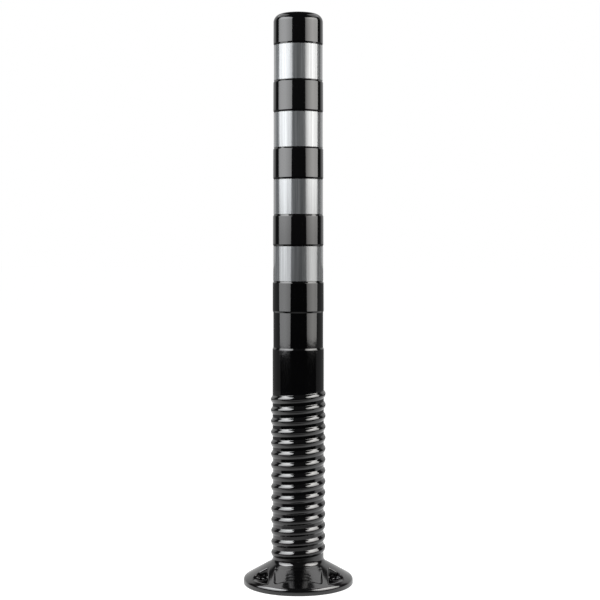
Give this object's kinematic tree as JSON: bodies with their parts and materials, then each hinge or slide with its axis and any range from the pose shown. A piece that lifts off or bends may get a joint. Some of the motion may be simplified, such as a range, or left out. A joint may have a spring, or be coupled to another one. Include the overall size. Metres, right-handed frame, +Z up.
{
  "type": "delineator post",
  "caption": "Upright flexible road delineator post with reflective bands, a ribbed self-righting lower length and a round bolt-down foot.",
  "frame": {"origin": "road surface at the centre of the foot", "axes": "+Z up along the post, front with the plain-barred panel towards -Y, rear fixing pocket towards +Y"},
  "size_m": [0.1934, 0.1934, 1],
  "materials": {
    "post_moulding": "glossy moulded polyurethane, black",
    "reflective_film": "silver-white retroreflective film"
  },
  "bodies": {
    "base": {"base_flange": "post_moulding"},
    "flex_01": {"flex_ring_01": "post_moulding"},
    "flex_02": {"flex_ring_02": "post_moulding"},
    "flex_03": {"flex_ring_03": "post_moulding"},
    "flex_04": {"flex_ring_04": "post_moulding"},
    "flex_05": {"flex_ring_05": "post_moulding"},
    "flex_06": {"flex_ring_06": "post_moulding"},
    "flex_07": {"flex_ring_07": "post_moulding"},
    "flex_08": {"flex_ring_08": "post_moulding"},
    "flex_09": {"flex_ring_09": "post_moulding"},
    "flex_10": {"flex_ring_10": "post_moulding"},
    "flex_11": {"flex_ring_11": "post_moulding"},
    "flex_12": {"flex_ring_12": "post_moulding"},
    "flex_13": {"flex_ring_13": "post_moulding"},
    "flex_14": {"flex_ring_14": "post_moulding"},
    "mast": {"flex_ring_15": "post_moulding", "mast_tube": "post_moulding", "top_plug": "post_moulding", "reflective_band_1": "reflective_film", "reflective_band_2": "reflective_film", "reflective_band_3": "reflective_film", "reflective_band_4": "reflective_film"}
  },
  "joints": [
    {"name": "bend_fore_aft_1", "type": "hinge", "parent": "base", "child": "flex_01", "pos_m": [0, 0, 0.05667], "axis": [1, 0, 0], "range_deg": [-11.26, 11.26], "stiffness_Nm_per_rad": 400, "deforming": ["flex_ring_01"]},
    {"name": "bend_sideways_1", "type": "hinge", "parent": "flex_01", "child": "flex_02", "pos_m": [0, 0, 0.07642], "axis": [0, 1, 0], "range_deg": [-6.42, 6.42], "stiffness_Nm_per_rad": 400, "deforming": ["flex_ring_02"]},
    {"name": "bend_fore_aft_2", "type": "hinge", "parent": "flex_02", "child": "flex_03", "pos_m": [0, 0, 0.09617], "axis": [1, 0, 0], "range_deg": [-11.26, 11.26], "stiffness_Nm_per_rad": 400, "deforming": ["flex_ring_03"]},
    {"name": "bend_sideways_2", "type": "hinge", "parent": "flex_03", "child": "flex_04", "pos_m": [0, 0, 0.11593], "axis": [0, 1, 0], "range_deg": [-6.42, 6.42], "stiffness_Nm_per_rad": 400, "deforming": ["flex_ring_04"]},
    {"name": "bend_fore_aft_3", "type": "hinge", "parent": "flex_04", "child": "flex_05", "pos_m": [0, 0, 0.13568], "axis": [1, 0, 0], "range_deg": [-11.26, 11.26], "stiffness_Nm_per_rad": 400, "deforming": ["flex_ring_05"]},
    {"name": "bend_sideways_3", "type": "hinge", "parent": "flex_05", "child": "flex_06", "pos_m": [0, 0, 0.15543], "axis": [0, 1, 0], "range_deg": [-6.42, 6.42], "stiffness_Nm_per_rad": 400, "deforming": ["flex_ring_06"]},
    {"name": "bend_fore_aft_4", "type": "hinge", "parent": "flex_06", "child": "flex_07", "pos_m": [0, 0, 0.17518], "axis": [1, 0, 0], "range_deg": [-11.26, 11.26], "stiffness_Nm_per_rad": 400, "deforming": ["flex_ring_07"]},
    {"name": "bend_sideways_4", "type": "hinge", "parent": "flex_07", "child": "flex_08", "pos_m": [0, 0, 0.19493], "axis": [0, 1, 0], "range_deg": [-6.42, 6.42], "stiffness_Nm_per_rad": 400, "deforming": ["flex_ring_08"]},
    {"name": "bend_fore_aft_5", "type": "hinge", "parent": "flex_08", "child": "flex_09", "pos_m": [0, 0, 0.21468], "axis": [1, 0, 0], "range_deg": [-11.26, 11.26], "stiffness_Nm_per_rad": 400, "deforming": ["flex_ring_09"]},
    {"name": "bend_sideways_5", "type": "hinge", "parent": "flex_09", "child": "flex_10", "pos_m": [0, 0, 0.23443], "axis": [0, 1, 0], "range_deg": [-6.42, 6.42], "stiffness_Nm_per_rad": 400, "deforming": ["flex_ring_10"]},
    {"name": "bend_fore_aft_6", "type": "hinge", "parent": "flex_10", "child": "flex_11", "pos_m": [0, 0, 0.25417], "axis": [1, 0, 0], "range_deg": [-11.26, 11.26], "stiffness_Nm_per_rad": 400, "deforming": ["flex_ring_11"]},
    {"name": "bend_sideways_6", "type": "hinge", "parent": "flex_11", "child": "flex_12", "pos_m": [0, 0, 0.27393], "axis": [0, 1, 0], "range_deg": [-6.42, 6.42], "stiffness_Nm_per_rad": 400, "deforming": ["flex_ring_12"]},
    {"name": "bend_fore_aft_7", "type": "hinge", "parent": "flex_12", "child": "flex_13", "pos_m": [0, 0, 0.29368], "axis": [1, 0, 0], "range_deg": [-11.26, 11.26], "stiffness_Nm_per_rad": 400, "deforming": ["flex_ring_13"]},
    {"name": "bend_sideways_7", "type": "hinge", "parent": "flex_13", "child": "flex_14", "pos_m": [0, 0, 0.31343], "axis": [0, 1, 0], "range_deg": [-6.42, 6.42], "stiffness_Nm_per_rad": 400, "deforming": ["flex_ring_14"]},
    {"name": "bend_fore_aft_8", "type": "hinge", "parent": "flex_14", "child": "mast", "pos_m": [0, 0, 0.33317], "axis": [1, 0, 0], "range_deg": [-11.26, 11.26], "stiffness_Nm_per_rad": 400, "deforming": ["flex_ring_15"]}
  ],
  "couplings": [
    {"joint": "bend_fore_aft_2", "follows": "bend_fore_aft_1", "ratio": 1},
    {"joint": "bend_sideways_2", "follows": "bend_sideways_1", "ratio": 1},
    {"joint": "bend_fore_aft_3", "follows": "bend_fore_aft_1", "ratio": 1},
    {"joint": "bend_sideways_3", "follows": "bend_sideways_1", "ratio": 1},
    {"joint": "bend_fore_aft_4", "follows": "bend_fore_aft_1", "ratio": 1},
    {"joint": "bend_sideways_4", "follows": "bend_sideways_1", "ratio": 1},
    {"joint": "bend_fore_aft_5", "follows": "bend_fore_aft_1", "ratio": 1},
    {"joint": "bend_sideways_5", "follows": "bend_sideways_1", "ratio": 1},
    {"joint": "bend_fore_aft_6", "follows": "bend_fore_aft_1", "ratio": 1},
    {"joint": "bend_sideways_6", "follows": "bend_sideways_1", "ratio": 1},
    {"joint": "bend_fore_aft_7", "follows": "bend_fore_aft_1", "ratio": 1},
    {"joint": "bend_sideways_7", "follows": "bend_sideways_1", "ratio": 1},
    {"joint": "bend_fore_aft_8", "follows": "bend_fore_aft_1", "ratio": 1}
  ]
}
